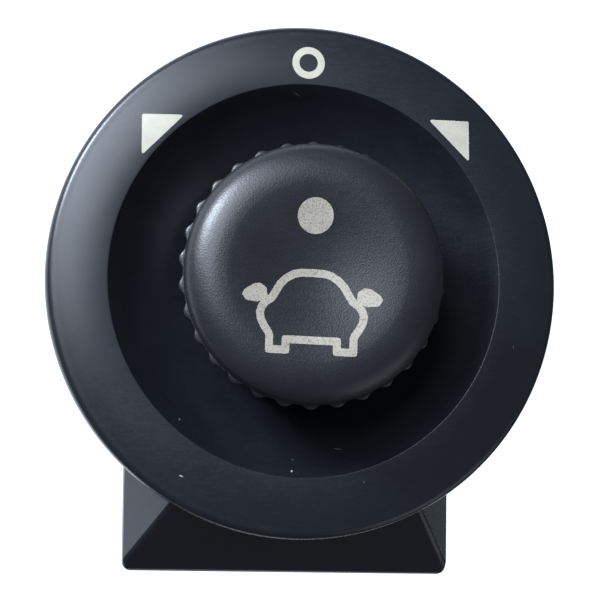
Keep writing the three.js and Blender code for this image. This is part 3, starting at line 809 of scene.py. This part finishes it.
def round_lower_corners(housing):
    """Rounds the two lower corners of the foot as seen from the front."""
    outside = 0.5  # how far the cutting tool reaches beyond the foot
    tool_bottom, tool_top = 20, 25
    centre_x, centre_y = FLANGE_HALF_WIDTH - CORNER_R, FLANGE_LOW_Y + CORNER_R
    far_x, far_y = FLANGE_HALF_WIDTH + outside, FLANGE_LOW_Y - outside
    outline = arc((centre_x, centre_y), (CORNER_R, CORNER_R), -90, 0, 8)
    outline += [(far_x, centre_y), (far_x, far_y), (centre_x, far_y)]
    for side in (-1, 1):
        rings = [[(side * x, y, z) for x, y in outline] for z in (tool_bottom, tool_top)]
        combined(housing, stacked("corner_tool", rings), "DIFFERENCE")


for node, (body, slot, material, edge) in REFINED.items():
    soft = is_flange_edge if node == "housing" else None
    piece = refined(node, f"{node}_piece", edge, soft=soft)
    if node == "housing":
        round_lower_corners(piece)
    finished(piece, node, body, material)


def centring_spring():
    """Round-wire coil spring with closed end turns."""
    low, high = extent("centring_spring")
    wire_r = 0.22
    coil_r = high.x - wire_r
    turns = 3
    steps, sides = 220, 12
    verts = []
    for i in range(steps + 1):
        share = i / steps
        angle = 2 * math.pi * turns * share
        height = low.z + wire_r + (high.z - low.z - 2 * wire_r) * share
        outward = Vector((math.cos(angle), math.sin(angle), 0))
        for k in range(sides):
            around = 2 * math.pi * k / sides
            point = outward * (coil_r + wire_r * math.cos(around))
            verts.append((point.x, point.y, height + wire_r * math.sin(around)))
    faces = [list(range(sides)), [steps * sides + k for k in range(sides)]]
    for i in range(steps):
        for k in range(sides):
            k2 = (k + 1) % sides
            faces.append([i * sides + k, i * sides + k2, (i + 1) * sides + k2, (i + 1) * sides + k])
    coil = edit(new_object("centring_spring_coil", verts, faces), lambda bm: None)
    finished(coil, "centring_spring", "base", SPRING_STEEL)


centring_spring()


# ---- Stage, light and camera ----


def stage():
    """Pale floor with a light table let into it, which ends just right of and below the object
    and is brighter on the left."""
    half = 2000
    level = -0.05
    corners = [(-half, -half, level), (half, -half, level), (half, half, level), (-half, half, level)]
    floor = new_object("floor", corners, [[0, 1, 2, 3]])
    material, tree, shader, coords = start_material("pale_floor")
    place = add(tree, "ShaderNodeSeparateXYZ", {0: coords}).outputs
    from_centre = add(tree, "ShaderNodeVectorMath", {0: coords}, operation="LENGTH").outputs["Value"]
    extra_at_left = ramp(tree, place["X"], -75, -35, 0.5, 0.0, smooth=True)
    up_to_right_edge = ramp(tree, place["X"], 31, 37, 1.2, 0.0, smooth=True)
    above_low_edge = ramp(tree, place["Y"], -45, -31, smooth=True)
    near = ramp(tree, from_centre, 130, 180, 1.0, 0.0, smooth=True)
    glow = maths(tree, "ADD", extra_at_left, up_to_right_edge)
    glow = maths(tree, "MULTIPLY", glow, above_low_edge)
    glow = maths(tree, "MULTIPLY", glow, near)
    connect(tree, shader, Base_Color=(0.1, 0.1, 0.1, 1), Roughness=0.9,
            Emission_Color=(0.91, 1.0, 1.15, 1), Emission_Strength=glow)
    floor.data.materials.append(material)


def area_light(name, direction, distance, width, height, radiance, colour):
    """A rectangular light of that radiance, facing the object's front from a direction."""
    front_z = 30
    lamp = bpy.data.lights.new(name, "AREA")
    lamp.shape = "RECTANGLE"
    lamp.size = width * MM
    lamp.size_y = height * MM
    lamp.color = colour
    lamp.energy = radiance * math.pi * width * MM * height * MM
    holder = bpy.data.objects.new(name, lamp)
    aim = Vector(direction).normalized()
    holder.location = (aim * distance + Vector((0, 0, front_z))) * MM
    holder.rotation_mode = "QUATERNION"
    holder.rotation_quaternion = aim.to_track_quat("Z", "Y")
    holder.visible_camera = False
    bpy.context.scene.collection.objects.link(holder)


def surroundings():
    """Faint bluish light from all around."""
    world = bpy.data.worlds.new("studio")
    world.use_nodes = True
    background = world.node_tree.nodes["Background"]
    background.inputs["Color"].default_value = (0.85, 0.97, 1.2, 1)
    background.inputs["Strength"].default_value = 0.22
    bpy.context.scene.world = world


def camera():
    """Almost straight down on the knob, from slightly left of and below its axis."""
    distance = 220
    lean_x, lean_y = 0.149, 0.105
    pivot_z = 30.5
    target = Vector((-0.2, -1.44, pivot_z))
    roll = -0.0119
    focal_per_width = 4.79
    lens = bpy.data.cameras.new("camera")
    lens.sensor_width = 36
    lens.lens = lens.sensor_width * focal_per_width
    lens.clip_start = 0.01
    holder = bpy.data.objects.new("camera", lens)
    place = Vector((-lean_x * distance, -lean_y * distance, pivot_z + distance))
    back = (place - target).normalized()
    right = Vector((0, 1, 0)).cross(back).normalized()
    up = back.cross(right)
    c, s = math.cos(roll), math.sin(roll)
    turned_right = c * right - s * up
    turned_up = s * right + c * up
    axes = Matrix((turned_right, turned_up, back)).transposed()
    holder.matrix_world = Matrix.Translation(place * MM) @ axes.to_4x4()
    bpy.context.scene.collection.objects.link(holder)
    bpy.context.scene.camera = holder


stage()
surroundings()
COOL = (0.79, 0.87, 1.0)
area_light("key", (-0.47, 0.46, 0.75), 300, 195, 290, 9.2, COOL)
area_light("fill", (0.66, -0.72, 0.20), 300, 200, 200, 1.0, (0.85, 0.9, 1.0))
area_light("side", (-0.67, 0.54, 0.50), 300, 90, 90, 68.0, COOL)
camera()
bpy.context.scene.view_settings.view_transform = "Standard"
